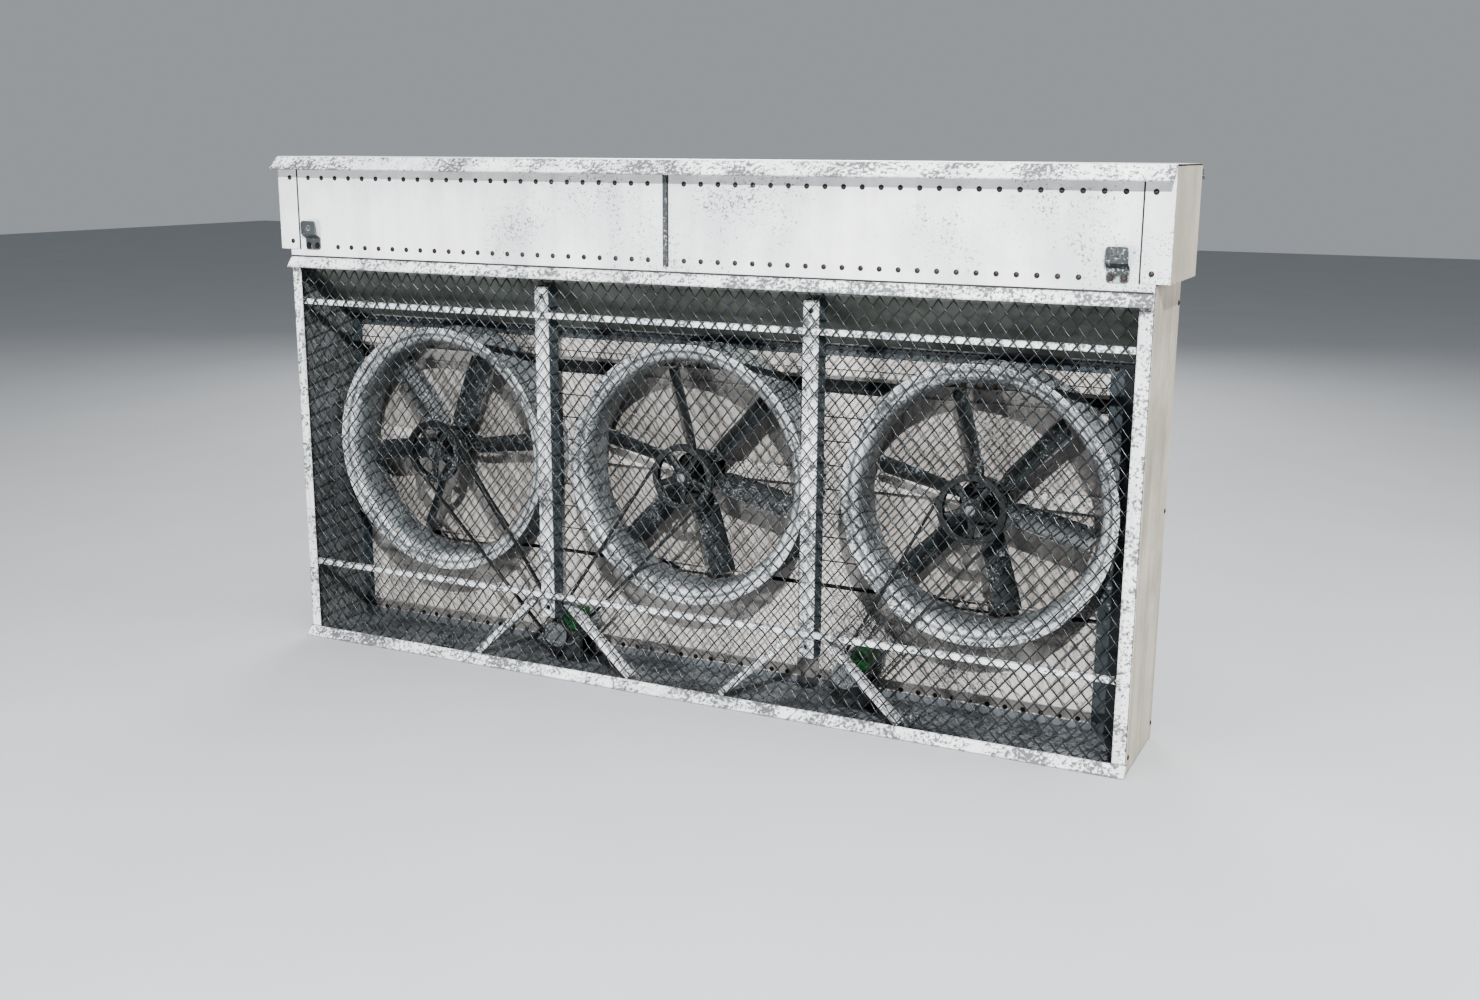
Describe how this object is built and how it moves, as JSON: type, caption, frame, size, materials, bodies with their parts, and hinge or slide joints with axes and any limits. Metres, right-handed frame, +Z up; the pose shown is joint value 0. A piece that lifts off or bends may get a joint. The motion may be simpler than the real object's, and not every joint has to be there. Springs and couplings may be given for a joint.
{
  "type": "forced-air liquid cooler",
  "caption": "Wall-shaped sheet-metal coolant cooler: belt-driven axial fans in flared cowls behind a diamond wire guard, finned core behind, header tank box above.",
  "frame": {"origin": "middle of the base, under the middle of the overall box", "axes": "+X along the front from the left end to the right end seen from the front, +Y from the mesh front to the back, +Z up"},
  "size_m": [3.69, 0.5454, 2.0725],
  "materials": {
    "white_paint": "worn white paint on sheet steel",
    "inner_paint": "off-white paint, stained",
    "dark_paint": "blue-grey paint",
    "galvanised": "weathered zinc",
    "bolt_steel": "dark oxidised heads",
    "black_iron": "black cast iron",
    "blade_paint": "charcoal paint, chipped",
    "bright_steel": "turned steel",
    "belt_rubber": "black rubber",
    "motor_grey": "ribbed grey casting",
    "motor_green": "dark green paint",
    "motor_black": "black paint",
    "core_aluminium": "coated fin stock",
    "core_copper": "copper tube"
  },
  "bodies": {
    "casing": {"bottom_pan": "white_paint", "left_side_panel": "white_paint", "right_side_panel": "white_paint", "rim_drip_lip": "white_paint", "upper_deck": "white_paint", "left_front_panel": "white_paint", "right_front_panel": "white_paint", "seam_batten": "white_paint", "left_corner_box": "white_paint", "right_corner_box": "white_paint", "top_cap": "white_paint", "back_panels": "white_paint", "bolts_and_rivets": "bolt_steel", "hanging_brackets": "galvanised", "pan_lugs": "galvanised", "guard_mesh": "galvanised", "mesh_rails": "white_paint", "mesh_posts": "white_paint", "post_braces": "white_paint", "sloping_ceiling": "dark_paint", "wall_planks": "inner_paint", "wall_panels": "inner_paint", "riveted_wall_angle": "dark_paint", "wall_beams": "inner_paint", "wall_corner_plates": "dark_paint", "core_fins": "core_aluminium", "core_tubes": "core_copper", "core_headers": "white_paint", "header_tank": "dark_paint", "tank_saddles": "galvanised", "riser_pipes": "core_copper", "flanged_stubs": "dark_paint", "bearing_cartridges": "black_iron", "fan_ball_bearings": "bright_steel", "motor_housings": "motor_grey", "motor_stators": "black_iron", "motor_terminal_boxes": "motor_green", "motor_bases": "motor_black", "fan_1_cowl": "white_paint", "fan_1_belt": "belt_rubber", "fan_2_cowl": "white_paint", "fan_2_belt": "belt_rubber", "fan_3_cowl": "white_paint", "fan_3_belt": "belt_rubber"},
    "fan_1": {"fan_1_shaft": "bright_steel", "fan_1_hub": "black_iron", "fan_1_blades": "blade_paint", "fan_1_pulley": "black_iron"},
    "fan_2": {"fan_2_shaft": "bright_steel", "fan_2_hub": "black_iron", "fan_2_blades": "blade_paint", "fan_2_pulley": "black_iron"},
    "fan_3": {"fan_3_shaft": "bright_steel", "fan_3_hub": "black_iron", "fan_3_blades": "blade_paint", "fan_3_pulley": "black_iron"},
    "motor_1": {"motor_1_rotor": "bright_steel", "motor_1_pulley": "black_iron"},
    "motor_2": {"motor_2_rotor": "bright_steel", "motor_2_pulley": "black_iron"}
  },
  "joints": [
    {"name": "fan_1_spin", "type": "hinge", "parent": "casing", "child": "fan_1", "pos_m": [-1.179, 0.046, 0.859], "axis": [0, 1, 0], "continuous": true},
    {"name": "fan_2_spin", "type": "hinge", "parent": "casing", "child": "fan_2", "pos_m": [0, 0.046, 0.859], "axis": [0, 1, 0], "continuous": true},
    {"name": "fan_3_spin", "type": "hinge", "parent": "casing", "child": "fan_3", "pos_m": [1.179, 0.046, 0.859], "axis": [0, 1, 0], "continuous": true},
    {"name": "motor_1_spin", "type": "hinge", "parent": "casing", "child": "motor_1", "pos_m": [-0.585, 0.045, 0.14], "axis": [0, 1, 0], "continuous": true},
    {"name": "motor_2_spin", "type": "hinge", "parent": "casing", "child": "motor_2", "pos_m": [0.71, 0.045, 0.162], "axis": [0, 1, 0], "continuous": true}
  ],
  "couplings": [
    {"joint": "fan_2_spin", "follows": "fan_1_spin", "ratio": 1},
    {"joint": "motor_1_spin", "follows": "fan_1_spin", "ratio": 2.6667},
    {"joint": "motor_2_spin", "follows": "fan_3_spin", "ratio": 2.6667}
  ]
}
